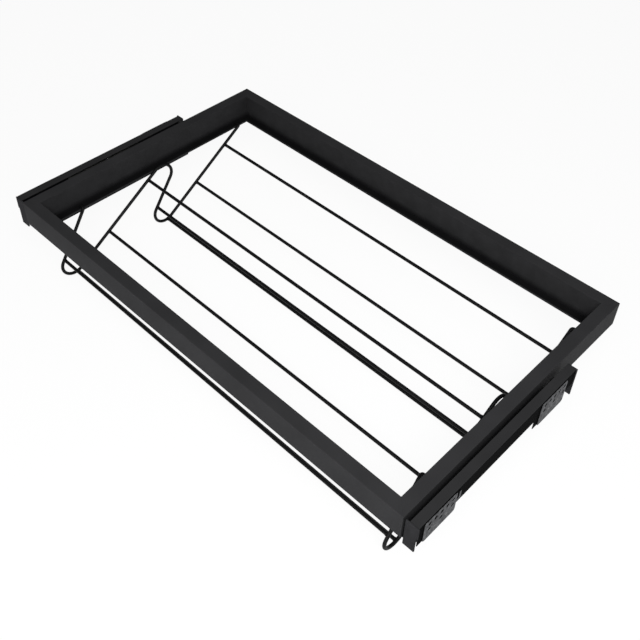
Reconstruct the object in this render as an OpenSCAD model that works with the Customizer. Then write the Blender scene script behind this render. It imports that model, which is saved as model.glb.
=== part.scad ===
// Pull-out shoe rack for a wardrobe: a mitred aluminium frame that carries a
// two-tier wire rack and runs out on a covered ball-bearing slide at each side.
// +X is right seen from the front, -Y is the front, +Z is up. The origin lies
// under the middle of the frame, level with the underside of the lowest wires.

/* [Overall] */
// Clear width between the two side panels that carry the rack
opening_w = 764; // [600:1:1000]
// Depth of the frame from front to back
frame_d = 440; // [420:1:520]
// Space between the frame and each side panel
side_space = 21; // [20:0.5:30]

/* [Frame bars] */
// Width of a bar without its ledge
bar_w = 18; // [15:0.5:24]
// Height of a bar
bar_h = 40; // [38:0.5:50]
// Wall of the hollow bar
bar_wall = 1.6; // [1.2:0.1:2]
// Width of the ledge inside the frame
ledge_w = 12; // [9:0.5:16]
// Thickness of the ledge
ledge_t = 2; // [1.5:0.1:3]
// Length of a corner cleat's leg
cleat_leg = 36; // [30:1:44]
// Wall left round the cleat's pockets
cleat_web = 2.5; // [2:0.1:3.5]
// Clearance of the cleat inside the bar
cleat_gap = 0.1; // [0.05:0.05:0.2]

/* [Wire rack] */
// Diameter of the bent end wires
wire_d = 5; // [4:0.1:6]
// Diameter of the long rods
rod_d = 5; // [4:0.1:6]
// Gap between an end wire and the edge of the ledge
wire_gap = 0.4; // [0.3:0.1:1]
// Bend radius of the two troughs on the wire's middle line
trough_r = 20; // [16:0.5:22]
// Bend radius of the crest on the wire's middle line
crest_r = 19; // [15:0.5:20]
// Depth of the troughs' axes under the frame
trough_drop = 84.5; // [76:0.5:92]
// Depth of the crest's axis under the frame
crest_drop = 12.5; // [8:0.5:16]
// Distance of the front trough's axis behind the frame's front face
front_trough_in = 41; // [36:0.5:50]
// Distance from the front trough to the rear trough
tier_pitch = 178.5; // [170:0.5:190]
// Distance of the crest's axis behind the rear trough's axis
crest_back = 3.5; // [0:0.5:8]
// Slope of the rear tier in degrees
rear_tier_angle = 33.5; // [30:0.5:38]
// Slope of the front end of the wire in degrees
front_end_angle = 56.5; // [50:0.5:64]
// Bend radius where a wire's end turns out onto the ledge
end_bend_r = 3.2; // [2.8:0.1:3.4]
// Gap between a wire's end and the bar's inner face
end_gap = 7; // [1:0.5:7.5]
// Height of a wire's end over the ledge that it rests on
rest_gap = 0.1; // [0.05:0.05:0.3]
// Distance of the lower rod up each slope, from the trough
lower_rod_up = 70.5; // [50:0.5:90]
// Distance of the front tier's upper rod up its slope
front_rod_up = 172; // [140:0.5:180]
// Distance of the rear tier's upper rod up its slope
rear_rod_up = 150; // [130:0.5:170]
// Turn of the trough rod past the foot of the slope in degrees
trough_rod_angle = 22; // [5:1:30]
// Distance of the stop rod up the riser, from the trough
stop_rod_up = 4.5; // [2:0.5:10]

/* [Slides] */
// Length of a slide
slide_l = 300; // [280:1:320]
// Height of the cabinet rail
slide_h = 27; // [27:0.5:29]
// Thickness of a slide over all its rails
slide_t = 12.7; // [12.3:0.1:13.5]
// Sheet thickness of the rails
rail_t = 1; // [0.9:0.05:1.1]
// Gap between the tracks that the balls run in
track_gap = 2; // [1.9:0.05:2.1]
// Gap between the webs of the cabinet rail and the middle rail
web_gap = 0.5; // [0.4:0.1:0.8]
// Length of the two moving rails less than the cabinet rail
rail_short = 6; // [5:0.5:8]
// Travel of the pulled-out frame
travel = 300; // [260:1:300]
// Distance of the slide behind the frame's front face
slide_in = 3; // [3:0.5:6]
// Gap between the cabinet rail's lips and the ball cages
lip_gap = 0.2; // [0.15:0.05:0.3]
// Distance of the balls' middle line from the slide's inner face
ball_in = 5.2; // [5:0.1:5.6]
// Diameter of a ball
ball_d = 2.4; // [2.2:0.05:2.5]
// Clearance between a ball and its grooves
ball_gap = 0.12; // [0.1:0.01:0.15]
// Number of balls in a row
ball_count = 10; // [6:1:12]
// Width of a ball cage
cage_w = 3.4; // [3:0.1:3.8]
// Thickness of a ball cage
cage_t = 0.7; // [0.5:0.1:0.9]
// Clearance between a ball and its cage
cage_gap = 0.06; // [0.04:0.01:0.08]
// Spare length kept at each end of a ball cage
cage_spare = 6; // [4:0.5:10]
// Clearance of the stop buffer round and in front
buffer_gap = 0.3; // [0.2:0.05:0.5]

/* [Carriers] */
// Thickness of the angle that carries the frame
carrier_t = 2; // [1.5:0.1:2.5]
// Length of the angle less than the drawer rail
carrier_short = 16; // [14:1:54]
// Diameter of the screws
screw_d = 4; // [3.5:0.1:4.2]
// Diameter of a pan head
head_d = 7; // [6.5:0.1:7.5]
// Height of a pan head
head_h = 2.2; // [1.8:0.1:2.4]
// Clearance of a screw in its hole
screw_gap = 0.05; // [0.03:0.01:0.1]
// Length of a screw inside the bar or the cleat
screw_bite = 10; // [8:0.5:12]
// Distance of the outer bar screws from the angle's ends
bar_screw_in = 48; // [46:1:60]
// Distance of the outer rail screws from the angle's ends
rail_screw_in = 30; // [24:1:44]
// Height of a nut
nut_h = 2.4; // [2:0.1:3]
// Width of a nut across its flats
nut_w = 7; // [6.5:0.1:7]

/* [Covers and caps] */
// Sheet thickness of the cover
cover_t = 1; // [0.8:0.1:1.2]
// Width of the cover's top
cover_w = 12.7; // [12.3:0.1:12.7]
// Height of the cover's outer wall
cover_h = 26; // [20:0.5:30]
// Distance of the cover's top under the frame's top
cover_drop = 1.7; // [1:0.1:3]
// Gap between the cover's top and the slide
cover_gap = 0.5; // [0.3:0.1:1]
// Thickness of the caps
cap_t = 2; // [1.5:0.1:2.5]
// Distance of the caps' lower edge under the frame
cap_low = 9; // [7:0.5:12]
// Reach of the front cap past the carrier towards the frame
cap_in = 1.6; // [1:0.1:2.5]
// Gap between the front cap and the side panel
cap_out = 0.5; // [0.3:0.1:1]
// Width of the notch in the front cap's lower outer corner
notch_w = 2.2; // [1.5:0.1:3]
// Height of the notch
notch_h = 27; // [20:0.5:32]
// Length of the plug on the front cap
plug_l = 9; // [6:0.5:14]
// Clearance of the plug in the drawer rail
plug_gap = 0.2; // [0.1:0.05:0.3]
// Diameter of the rear cap's pegs
peg_d = 3; // [2.5:0.1:3.5]

/* [Wall brackets] */
// Sheet thickness of a wall bracket
bracket_t = 1.2; // [1:0.1:1.5]
// Distance of the front bracket behind the frame's front face
front_bracket_in = 11; // [9:0.5:16]
// Length of the front bracket
front_bracket_l = 56; // [55:0.5:64]
// Height of the front bracket
front_bracket_h = 36; // [34:0.5:42]
// Distance of the rear bracket behind the frame's front face
rear_bracket_in = 229; // [215:1:235]
// Length of the rear bracket
rear_bracket_l = 55; // [55:0.5:62]
// Height of the rear bracket
rear_bracket_h = 41; // [36:0.5:43]
// Distance of a bracket's top under the cover's top
bracket_drop = 0.8; // [0.5:0.1:1.5]
// Corner radius of a bracket
bracket_r = 4; // [2:0.5:6]
// Diameter of the fixing holes
hole_d = 5.2; // [4:0.1:5.4]
// Pitch of the upper row of fixing holes
hole_pitch = 10; // [9.5:0.1:10.5]
// Distance of the upper row under the bracket's top
upper_row = 8; // [7.5:0.1:9]
// Distance of the lower row under the upper row
row_gap = 10.5; // [9.5:0.1:11]
// Distance of the first hole from a bracket's front edge
first_hole = 9.4; // [8:0.1:11]
// Diameter of the holes behind them that let a driver through
access_d = 7.2; // [7:0.1:7.6]
// Reach of the cover's tab in front of each bracket
tab_reach = 8; // [4:0.5:8]
// Height of the cover's tab over a bracket's lower edge
tab_up = 1; // [0.5:0.1:2]
// Diameter of a rivet
rivet_d = 3.2; // [3:0.1:3.4]
// Diameter of a rivet's flush head
rivet_head = 5; // [4.5:0.1:5.4]
// Distance of the rivets over the cabinet rail's lower edge
rivet_up = 3.6; // [3.4:0.1:4]
// Reach of the front bracket's hook
hook_l = 7.5; // [5:0.5:8]
// Width of the hook's arm
hook_w = 3.5; // [3:0.1:4]
// Height of the hook
hook_h = 15; // [10:0.5:18]
// Distance of the hook's foot under the bracket's top
hook_drop = 19.5; // [18:0.5:22]

/* [Hidden] */
$fn = 32;

// Overrun of every cut past the face that it leaves through
over = 1;

// Frame: outer width, and where its front face and underside lie
frame_w = opening_w - 2 * side_space;
front_y = -frame_d / 2;
frame_z = trough_drop + trough_r + wire_d / 2;
bar_edge = frame_w / 2;
bar_inner = bar_edge - bar_w;
ledge_edge = bar_inner - ledge_w;

// Wire rack: middle line of an end wire, all in the plane x = wire_x
wire_x = ledge_edge - wire_gap - wire_d / 2;
tail_z = frame_z + ledge_t + wire_d / 2 + rest_gap;
front_trough = [front_y + front_trough_in, frame_z - trough_drop];
rear_trough = front_trough + [tier_pitch, 0];
crest = [rear_trough.x + crest_back, frame_z - crest_drop];
front_tier_angle = line_turn(front_trough) + cross_turn(front_trough);
riser_angle = line_turn(rear_trough) - cross_turn(rear_trough);

// Slide: faces met from the side panel inwards
wall_x = opening_w / 2;
bracket_x = wall_x - bracket_t;
cover_x = bracket_x - cover_t;
slide_x = cover_x - slide_t;
carrier_x = slide_x - carrier_t;
slide_y = front_y + slide_in;
cover_z = frame_z + bar_h - cover_drop;
slide_z = cover_z - cover_t - cover_gap - slide_h / 2;

// Rails: each one lies inside the one before, a track gap away
middle_h = slide_h - 2 * rail_t - 2 * track_gap;
drawer_h = middle_h - 2 * rail_t - 2 * track_gap;
rail_l = slide_l - rail_short;
carrier_l = rail_l - carrier_short;
outer_ball_z = slide_h / 2 - rail_t - track_gap / 2;
inner_ball_z = middle_h / 2 - rail_t - track_gap / 2;
groove_r = ball_d / 2 + ball_gap;
lip_x = ball_in - groove_r - rail_t;
lip_h = track_gap / 2 - cage_t / 2 - lip_gap;
middle_web_x = slide_t - rail_t - web_gap - rail_t;
drawer_reach = ball_in + groove_r + rail_t;
cage_l = rail_l - travel / 2 - 2 * cage_spare;
cage_y = slide_y + travel / 4 + cage_spare;

// Brackets: top edge, and the front edges along Y
bracket_z = cover_z - bracket_drop;
front_bracket_y = front_y + front_bracket_in;
rear_bracket_y = front_y + rear_bracket_in;
upper_count = 5;
lower_count = 3;
screw_count = 3;
wire_sides = 12;
bend_steps = 18;
end_steps = 6;

// Angle of the line from a trough's centre to the crest's centre
function line_turn(c) = atan2(crest.y - c.y, crest.x - c.x);
// Angle between that line and the straight wire that crosses it
function cross_turn(c) = asin((trough_r + crest_r) / norm(crest - c));
// Point on a circle in the plane of an end wire
function on_circle(c, r, a) = c + r * [cos(a), sin(a)];
// Point up a straight wire that leaves a trough at the rear, or at the front
function up_slope(c, a, up) = on_circle(c, trough_r, a - 90) + up * [cos(a), sin(a)];
function up_riser(c, a, up) = on_circle(c, trough_r, a + 90) + up * [cos(a), sin(a)];
// Length of a straight wire whose end bend lies on the ledge
function to_ledge(p, a) = (tail_z - p.y) / sin(a) - end_bend_r;
// Evenly spread places between two insets
function spread(len, inset, i) = inset + i * (len - 2 * inset) / (screw_count - 1);

module on_left() { mirror([1, 0, 0]) children(); }

// Extrudes an outline drawn in X and Z along Y
module along_y(y, len) {
  translate([0, y + len, 0]) rotate([90, 0, 0]) linear_extrude(len) children();
}

// Extrudes an outline drawn in Y and Z along X
module along_x(x, len) {
  translate([x, 0, 0]) rotate([90, 0, 90]) linear_extrude(len) children();
}

// Flat plate with rounded corners
module rounded(l, h, r) {
  translate([r, 0]) square([l - 2 * r, h]);
  translate([0, r]) square([l, h - 2 * r]);
  for (x = [r, l - r], y = [r, h - r]) translate([x, y]) circle(r);
}

// Screw hole through the underside of the frame
module floor_hole(x, y, d) {
  translate([x, y, frame_z - over]) cylinder(d = d, h = bar_wall + 2 * over);
}

// Countersunk screw that points up, with its head flush at z = 0
module sunk_screw(gap) {
  cylinder(d1 = 2 * screw_d + 2 * gap, d2 = screw_d + 2 * gap, h = bar_wall);
  cylinder(d = screw_d + 2 * gap, h = bar_wall + screw_bite);
}

// Places of the two screws in one corner cleat, for the right front corner
module cleat_screw_places() {
  off = bar_w / 2;
  reach = cleat_leg - off / 2;
  translate([bar_edge - off, front_y + reach, frame_z]) children();
  translate([bar_edge - reach, front_y + off, frame_z]) children();
}

module four_corners() {
  for (mx = [0, 1], my = [0, 1])
    scale([1 - 2 * mx, 1 - 2 * my, 1]) children();
}

// Hollow bar with its ledge: outer face at x = 0, inside at +x
module bar_outline() {
  difference() {
    square([bar_w, bar_h]);
    translate([bar_wall, bar_wall]) square([bar_w - 2 * bar_wall, bar_h - 2 * bar_wall]);
  }
  translate([bar_w, 0]) square([ledge_w, ledge_t]);
}

// Room that a mitred bar may fill: half its length, and its outer face at y = -half_d
module mitre(half_l, half_d) {
  reach = bar_w + ledge_w + over;
  translate([0, 0, frame_z - over]) linear_extrude(bar_h + 2 * over) polygon([
    [-half_l - over, -half_d - over], [half_l + over, -half_d - over],
    [half_l - reach, -half_d + reach], [-half_l + reach, -half_d + reach]
  ]);
}

module front_bar() {
  color("#38383a") difference() {
    intersection() {
      translate([0, front_y, frame_z]) along_x(-bar_edge, frame_w) bar_outline();
      mitre(bar_edge, frame_d / 2);
    }
    for (side = [0, 1]) mirror([side, 0, 0]) cleat_screw_places() sunk_screw(screw_gap);
  }
}

module rear_bar() { mirror([0, 1, 0]) front_bar(); }

module right_bar() {
  color("#38383a") difference() {
    intersection() {
      translate([bar_edge, 0, frame_z]) along_y(front_y, frame_d) mirror([1, 0]) bar_outline();
      rotate([0, 0, 90]) mitre(frame_d / 2, bar_edge);
    }
    for (side = [0, 1]) mirror([0, side, 0]) cleat_screw_places() sunk_screw(screw_gap);
    for (i = [0 : screw_count - 1])
      floor_hole(bar_edge - bar_w / 2, slide_y + spread(carrier_l, bar_screw_in, i), screw_d + 2 * screw_gap);
  }
}

// Angle block inside each corner, with a pocket in each leg
module corner_cleat() {
  inset = bar_wall + cleat_gap;
  w = bar_w - 2 * inset;
  pocket = cleat_leg - w - screw_d - 4 * cleat_web;
  difference() {
    translate([bar_edge - inset, front_y + inset, frame_z + inset])
      linear_extrude(bar_h - 2 * inset) difference() {
        polygon([[0, 0], [-cleat_leg, 0], [-cleat_leg, w], [-w, w], [-w, cleat_leg], [0, cleat_leg]]);
        translate([-w - cleat_web - pocket, cleat_web]) square([pocket, w - 2 * cleat_web]);
        translate([cleat_web - w, w + cleat_web]) square([w - 2 * cleat_web, pocket]);
      }
    cleat_screw_places() sunk_screw(screw_gap);
  }
}

module corner_cleats() { color("#9a9a9c") four_corners() corner_cleat(); }

module cleat_screws() { color("#56575a") four_corners() cleat_screw_places() sunk_screw(0); }

// Ring of the end wire's skin: where it lies and the two directions that it spans
function ring(p, u, v) = [for (k = [0 : wire_sides - 1])
  p + wire_d / 2 * (cos(360 * k / wire_sides) * u + sin(360 * k / wire_sides) * v)];

// Rings round a bend in the wire's plane, while its heading turns from one angle to
// another: the centre lies to the left where the turn is positive
function bend_rings(c, r, from, to) = [for (k = [0 : bend_steps])
  let (h = from + (to - from) * k / bend_steps, p = c + sign(to - from) * r * [sin(h), -cos(h)])
    ring([wire_x, p.x, p.y], [1, 0, 0], [0, sin(h), -cos(h)])];

// Rings of an end: a tight bend outwards from the wire's plane, then a tail on the ledge
function end_rings(p, h, way) = [for (k = [0 : end_steps + 1])
  let (a = 90 * min(k, end_steps) / end_steps, e = way * [0, cos(h), sin(h)],
      tail = k > end_steps ? bar_inner - end_gap - wire_x - end_bend_r : 0)
    ring([wire_x + end_bend_r * (1 - cos(a)) + tail, p.x, p.y] + end_bend_r * sin(a) * e,
      [cos(a), 0, 0] - sin(a) * e, [0, sin(h), -cos(h)])];

function flip(list) = [for (k = [len(list) - 1 : -1 : 0]) list[k]];

// Skin through all the rings, closed at both ends
module tube(rings) {
  n = wire_sides;
  last = (len(rings) - 1) * n;
  polyhedron([for (r = rings) each r], [
    [for (k = [0 : n - 1]) k],
    [for (k = [n - 1 : -1 : 0]) last + k],
    for (i = [0 : len(rings) - 2], k = [0 : n - 1]) let (a = i * n + k, b = i * n + (k + 1) % n)
      each [[a, a + n, b + n], [a, b + n, b]]
  ]);
}

// Bent wire: front tail and rise, front trough, slope, crest, riser, rear trough, slope, tail
module right_end_wire() {
  front_foot = up_riser(front_trough, front_end_angle, 0);
  front_top = up_riser(front_trough, front_end_angle, to_ledge(front_foot, front_end_angle));
  rear_foot = up_slope(rear_trough, rear_tier_angle, 0);
  rear_top = up_slope(rear_trough, rear_tier_angle, to_ledge(rear_foot, rear_tier_angle));
  color("#1c1c1e") tube(concat(
    flip(end_rings(front_top, front_end_angle + 180, -1)),
    bend_rings(front_trough, trough_r, front_end_angle - 180, front_tier_angle),
    bend_rings(crest, crest_r, front_tier_angle, riser_angle - 180),
    bend_rings(rear_trough, trough_r, riser_angle - 180, rear_tier_angle),
    end_rings(rear_top, rear_tier_angle, 1)
  ));
}

// Long rod that is butted between the two end wires
module rod(p) {
  half = wire_x - wire_d / 2;
  color("#1c1c1e") translate([-half, p.x, p.y]) rotate([0, 90, 0]) cylinder(d = rod_d, h = 2 * half);
}

module front_upper_rod() { rod(up_slope(front_trough, front_tier_angle, front_rod_up)); }
module front_lower_rod() { rod(up_slope(front_trough, front_tier_angle, lower_rod_up)); }
module front_trough_rod() { rod(up_slope(front_trough, front_tier_angle - trough_rod_angle, 0)); }
module front_stop_rod() { rod(up_riser(front_trough, front_end_angle, stop_rod_up)); }
module rear_upper_rod() { rod(up_slope(rear_trough, rear_tier_angle, rear_rod_up)); }
module rear_lower_rod() { rod(up_slope(rear_trough, rear_tier_angle, lower_rod_up)); }
module rear_trough_rod() { rod(up_slope(rear_trough, rear_tier_angle - trough_rod_angle, 0)); }
module rear_stop_rod() { rod(up_riser(rear_trough, riser_angle, stop_rod_up)); }

// Angle under the side bar that stands up beside the slide
module right_carrier() {
  top = slide_z + drawer_h / 2;
  foot = frame_z - carrier_t;
  color("#2a2a2c") difference() {
    along_y(slide_y, carrier_l) union() {
      translate([ledge_edge, foot]) square([slide_x - ledge_edge, carrier_t]);
      translate([carrier_x, foot]) square([carrier_t, top - foot]);
    }
    for (i = [0 : screw_count - 1]) {
      translate([bar_edge - bar_w / 2, slide_y + spread(carrier_l, bar_screw_in, i), foot - over])
        cylinder(d = screw_d + 2 * screw_gap, h = carrier_t + 2 * over);
      translate([carrier_x - over, slide_y + spread(carrier_l, rail_screw_in, i), slide_z])
        rotate([0, 90, 0]) cylinder(d = screw_d + 2 * screw_gap, h = carrier_t + 2 * over);
    }
  }
}

// Pan head screw that points up, with the underside of its head at z = 0
module pan_screw(len) {
  translate([0, 0, -head_h]) cylinder(d = head_d, h = head_h);
  cylinder(d = screw_d, h = len);
}

module right_bar_screws() {
  color("#56575a") for (i = [0 : screw_count - 1])
    translate([bar_edge - bar_w / 2, slide_y + spread(carrier_l, bar_screw_in, i), frame_z - carrier_t])
      pan_screw(carrier_t + screw_bite);
}

module right_rail_screws() {
  color("#56575a") for (i = [0 : screw_count - 1])
    translate([carrier_x, slide_y + spread(carrier_l, rail_screw_in, i), slide_z])
      rotate([0, 90, 0]) pan_screw(carrier_t + rail_t + nut_h);
}

module right_rail_nuts() {
  color("#56575a") for (i = [0 : screw_count - 1])
    translate([slide_x + rail_t, slide_y + spread(carrier_l, rail_screw_in, i), slide_z])
      rotate([0, 90, 0]) difference() {
        cylinder(d = nut_w / cos(30), h = nut_h, $fn = 6);
        translate([0, 0, -over]) cylinder(d = screw_d + 2 * screw_gap, h = nut_h + 2 * over);
      }
}

// Cap in front of the slide, with a notch and a plug for the drawer rail
module right_front_cap() {
  inner = carrier_x - cap_in;
  outer = wall_x - cap_out;
  low = frame_z - cap_low;
  plug = drawer_h - 2 * rail_t - 2 * plug_gap;
  color("#303032") {
    along_y(slide_y - cap_t, cap_t) difference() {
      translate([inner, low]) square([outer - inner, cover_z - low]);
      translate([outer - notch_w, low - over]) square([notch_w + over, notch_h + over]);
    }
    translate([slide_x + rail_t + plug_gap, slide_y - cap_t / 2, slide_z - plug / 2])
      cube([drawer_reach - rail_t - plug_gap, plug_l + cap_t / 2, plug]);
  }
}

// Ball grooves of one pair of tracks, at a height over and under the slide's middle
module grooves(z) {
  for (side = [-1, 1]) translate([ball_in, side * z]) circle(groove_r);
}

// Web and two flanges of a rail, drawn about the middle of its height
module channel(h, web, reach_from, reach_to) {
  translate([web, -h / 2]) square([rail_t, h]);
  for (z = [-h / 2, h / 2 - rail_t])
    translate([reach_from, z]) square([reach_to - reach_from, rail_t]);
}

module right_drawer_rail() {
  color("#2c2c2f") difference() {
    translate([slide_x, 0, slide_z]) along_y(slide_y, rail_l) difference() {
      channel(drawer_h, 0, 0, drawer_reach);
      grooves(inner_ball_z);
    }
    for (i = [0 : screw_count - 1])
      translate([slide_x - over, slide_y + spread(carrier_l, rail_screw_in, i), slide_z])
        rotate([0, 90, 0]) cylinder(d = screw_d + 2 * screw_gap, h = rail_t + 2 * over);
  }
}

module right_middle_rail() {
  color("#2c2c2f") translate([slide_x, 0, slide_z]) along_y(slide_y, rail_l) difference() {
    channel(middle_h, middle_web_x, lip_x + rail_t, middle_web_x);
    grooves(inner_ball_z);
    grooves(outer_ball_z);
  }
}

// Places of a bracket's fixing holes, from its front top corner
module hole_places() {
  for (i = [0 : upper_count - 1]) translate([first_hole + i * hole_pitch, -upper_row]) children();
  for (i = [0 : lower_count - 1])
    translate([first_hole + 2 * i * hole_pitch, -upper_row - row_gap]) children();
}

// Both brackets' front top corners
module both_brackets() {
  translate([front_bracket_y, bracket_z]) children();
  translate([rear_bracket_y, bracket_z]) children();
}

// Places of a bracket's two rivets, between its holes
module rivet_places() {
  up = slide_z - slide_h / 2 + rivet_up - bracket_z;
  for (i = [1, 3]) translate([first_hole + i * hole_pitch, up]) children();
}

module right_cabinet_rail() {
  color("#2c2c2f") difference() {
    translate([slide_x, 0, slide_z]) along_y(slide_y, slide_l) difference() {
      union() {
        channel(slide_h, slide_t - rail_t, lip_x, slide_t);
        for (side = [-1, 1]) translate([lip_x, side * (slide_h / 2 - lip_h / 2 - rail_t) - lip_h / 2])
          square([rail_t, lip_h]);
      }
      grooves(outer_ball_z);
    }
    along_x(cover_x - rail_t - over, rail_t + 2 * over) both_brackets() {
      hole_places() circle(d = access_d);
      rivet_places() circle(d = rivet_d + 2 * screw_gap);
    }
  }
}

// Upper and lower strip that keep the balls apart
module cages(z) {
  for (side = [-1, 1]) difference() {
    translate([slide_x + ball_in - cage_w / 2, cage_y, slide_z + side * z - cage_t / 2])
      cube([cage_w, cage_l, cage_t]);
    ball_places(side * z) translate([0, 0, -cage_t / 2 - over])
      cylinder(d = ball_d + 2 * cage_gap, h = cage_t + 2 * over);
  }
}

module ball_places(z) {
  pitch = cage_l / ball_count;
  for (i = [0 : ball_count - 1])
    translate([slide_x + ball_in, cage_y + (i + 1 / 2) * pitch, slide_z + z]) children();
}

module balls(z) {
  color("#d0d2d4") for (side = [-1, 1]) ball_places(side * z) sphere(d = ball_d);
}

module right_inner_cages() { color("#8a8c8e") cages(inner_ball_z); }
module right_outer_cages() { color("#8a8c8e") cages(outer_ball_z); }
module right_inner_balls() { balls(inner_ball_z); }
module right_outer_balls() { balls(outer_ball_z); }

// Places of the rear cap's two pegs, as heights
module peg_places() {
  for (side = [-1, 1]) translate([middle_web_x / 2 + slide_x, side * middle_h / 4 + slide_z]) children();
}

// Stop at the back of the cabinet rail
module right_buffer() {
  from = slide_y + rail_l + buffer_gap;
  w = middle_web_x;
  h = slide_h - 2 * rail_t - 2 * lip_h - 2 * buffer_gap;
  color("#232325") along_y(from, slide_y + slide_l - from) difference() {
    translate([slide_x + slide_t - rail_t - w, slide_z - h / 2]) square([w, h]);
    peg_places() circle(d = peg_d + 2 * screw_gap);
  }
}

// Folded cover: narrow top, outer wall, and a tab down behind each bracket
module right_cover() {
  color("#333335") difference() {
    union() {
      along_y(slide_y, slide_l) union() {
        translate([bracket_x - cover_w, cover_z - cover_t]) square([cover_w, cover_t]);
        translate([cover_x, cover_z - cover_h]) square([cover_t, cover_h]);
      }
      cover_tab(slide_y, front_bracket_y + front_bracket_l, front_bracket_h);
      cover_tab(rear_bracket_y - tab_reach, rear_bracket_y + rear_bracket_l, rear_bracket_h);
    }
    along_x(cover_x - over, cover_t + 2 * over) both_brackets() {
      hole_places() circle(d = access_d);
      rivet_places() circle(d = rivet_d + 2 * screw_gap);
    }
  }
}

module cover_tab(from, to, h) {
  low = bracket_z - h + tab_up;
  translate([cover_x, from, low]) cube([cover_t, to - from, cover_z - cover_t - low]);
}

module right_rear_cap() {
  low = frame_z - cap_low;
  color("#303032") {
    along_y(slide_y + slide_l, cap_t) translate([bracket_x - cover_w, low])
      square([wall_x - bracket_x + cover_w, cover_z - low]);
    along_y(slide_y + rail_l + 2 * buffer_gap, rail_short - buffer_gap) peg_places() circle(d = peg_d);
  }
}

// Galvanised plate that is screwed to the side panel
module bracket(y, l, h) {
  color("#8f9192") along_x(bracket_x, bracket_t) translate([y, bracket_z]) difference() {
    union() {
      translate([0, -h]) rounded(l, h, bracket_r);
      children();
    }
    hole_places() circle(d = hole_d);
  }
}

// Cuts the two flush rivet seats of a bracket
module rivet_seats(y) {
  translate([0, y, bracket_z]) rivet_holes() rivet(screw_gap);
}

module rivet_holes() {
  up = slide_z - slide_h / 2 + rivet_up - bracket_z;
  for (i = [1, 3]) translate([wall_x, first_hole + i * hole_pitch, up]) rotate([0, -90, 0]) children();
}

// Flush rivet that points inwards from the side panel
module rivet(gap) {
  cylinder(d1 = rivet_head + 2 * gap, d2 = rivet_d + 2 * gap, h = bracket_t);
  cylinder(d = rivet_d + 2 * gap, h = bracket_t + cover_t + rail_t);
}

// Hook that springs behind the cover's tab at the back of the front bracket
module hook() {
  translate([front_bracket_l - over, -hook_drop]) square([hook_l + over, hook_w]);
  translate([front_bracket_l + hook_l - hook_w, -hook_drop]) square([hook_w, hook_h]);
}

module right_front_bracket() {
  difference() {
    bracket(front_bracket_y, front_bracket_l, front_bracket_h) hook();
    rivet_seats(front_bracket_y);
  }
}

module right_rear_bracket() {
  difference() {
    bracket(rear_bracket_y, rear_bracket_l, rear_bracket_h);
    rivet_seats(rear_bracket_y);
  }
}

module right_rivets() {
  color("#56575a") for (y = [front_bracket_y, rear_bracket_y])
    translate([0, y, bracket_z]) rivet_holes() rivet(0);
}

front_bar();
rear_bar();
on_left() right_bar();  // left_bar
right_bar();
corner_cleats();
cleat_screws();
on_left() right_end_wire();  // left_end_wire
right_end_wire();
front_upper_rod();
front_lower_rod();
front_trough_rod();
front_stop_rod();
rear_upper_rod();
rear_lower_rod();
rear_trough_rod();
rear_stop_rod();
on_left() right_carrier();  // left_carrier
right_carrier();
on_left() right_bar_screws();  // left_bar_screws
right_bar_screws();
on_left() right_rail_screws();  // left_rail_screws
right_rail_screws();
on_left() right_rail_nuts();  // left_rail_nuts
right_rail_nuts();
on_left() right_front_cap();  // left_front_cap
right_front_cap();
on_left() right_drawer_rail();  // left_drawer_rail
right_drawer_rail();
on_left() right_inner_cages();  // left_inner_cages
right_inner_cages();
on_left() right_inner_balls();  // left_inner_balls
right_inner_balls();
on_left() right_middle_rail();  // left_middle_rail
right_middle_rail();
on_left() right_outer_cages();  // left_outer_cages
right_outer_cages();
on_left() right_outer_balls();  // left_outer_balls
right_outer_balls();
on_left() right_cabinet_rail();  // left_cabinet_rail
right_cabinet_rail();
on_left() right_buffer();  // left_buffer
right_buffer();
on_left() right_cover();  // left_cover
right_cover();
on_left() right_rear_cap();  // left_rear_cap
right_rear_cap();
on_left() right_front_bracket();  // left_front_bracket
right_front_bracket();
on_left() right_rear_bracket();  // left_rear_bracket
right_rear_bracket();
on_left() right_rivets();  // left_rivets
right_rivets();
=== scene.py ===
"""Looks of a pull-out wardrobe shoe rack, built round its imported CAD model. All sizes are in metres."""

import bmesh
import bpy
import numpy as np
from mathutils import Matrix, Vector


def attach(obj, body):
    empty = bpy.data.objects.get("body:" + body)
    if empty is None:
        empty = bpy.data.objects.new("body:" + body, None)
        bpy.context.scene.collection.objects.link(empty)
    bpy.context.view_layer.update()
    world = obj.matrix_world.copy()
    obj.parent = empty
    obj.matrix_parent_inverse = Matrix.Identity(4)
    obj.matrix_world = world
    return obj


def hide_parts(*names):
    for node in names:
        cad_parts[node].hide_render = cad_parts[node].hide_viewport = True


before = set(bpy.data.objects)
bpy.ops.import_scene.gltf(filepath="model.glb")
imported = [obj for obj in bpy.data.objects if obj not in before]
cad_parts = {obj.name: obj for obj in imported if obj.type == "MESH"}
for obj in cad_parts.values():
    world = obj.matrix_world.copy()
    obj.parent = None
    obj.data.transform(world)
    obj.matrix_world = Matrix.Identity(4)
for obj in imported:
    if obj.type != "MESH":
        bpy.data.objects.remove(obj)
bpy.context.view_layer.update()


# Frame bars. Four lengths of extruded aluminium with a narrow ledge at the foot, cut to a mitre
# at both ends and drawn tight on corner cleats, then powder coated black with a fine grain.

HALF_WIDTH = 0.361
HALF_DEPTH = 0.220
FRAME_FOOT = 0.107
BAR_WIDTH = 0.018
BAR_HEIGHT = 0.040
LEDGE_WIDTH = 0.012
LEDGE_THICKNESS = 0.002
BAR_EDGE = 0.0007
LEDGE_EDGE = 0.0005
LEDGE_FILLET = 0.0004
MITRE_GROOVE = 0.00006
UNSHADED_LIP_WIDTH = 0.0018


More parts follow.
